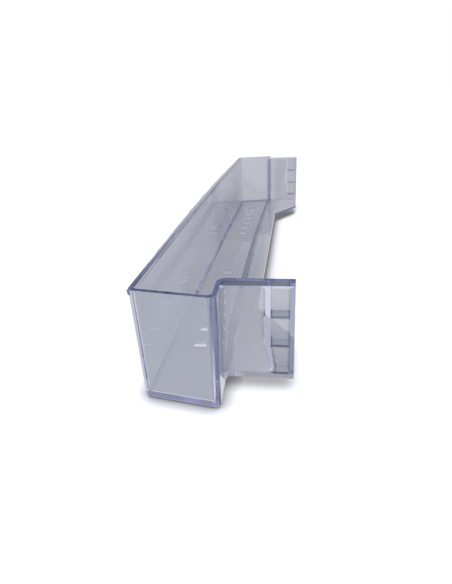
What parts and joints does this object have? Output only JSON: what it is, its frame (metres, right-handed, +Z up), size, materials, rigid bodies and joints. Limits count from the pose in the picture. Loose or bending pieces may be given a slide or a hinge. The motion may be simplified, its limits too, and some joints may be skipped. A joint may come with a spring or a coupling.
{
  "type": "fridge door shelf",
  "caption": "Clear moulded shelf for a fridge door: long open trough with a crowned front lip, vented floor, raised notched back ledge, and side ears with ladder catches.",
  "frame": {"origin": "under the middle of the shelf, on the plane that the trough's floor stands on", "axes": "+X along the shelf, +Y from the front wall towards the door, +Z up"},
  "size_m": [0.5576, 0.1024, 0.0785],
  "materials": {
    "clear_plastic": "clear, glossy, with a faint blue tint"
  },
  "bodies": {
    "root": {"door_shelf": "clear_plastic"}
  },
  "joints": []
}
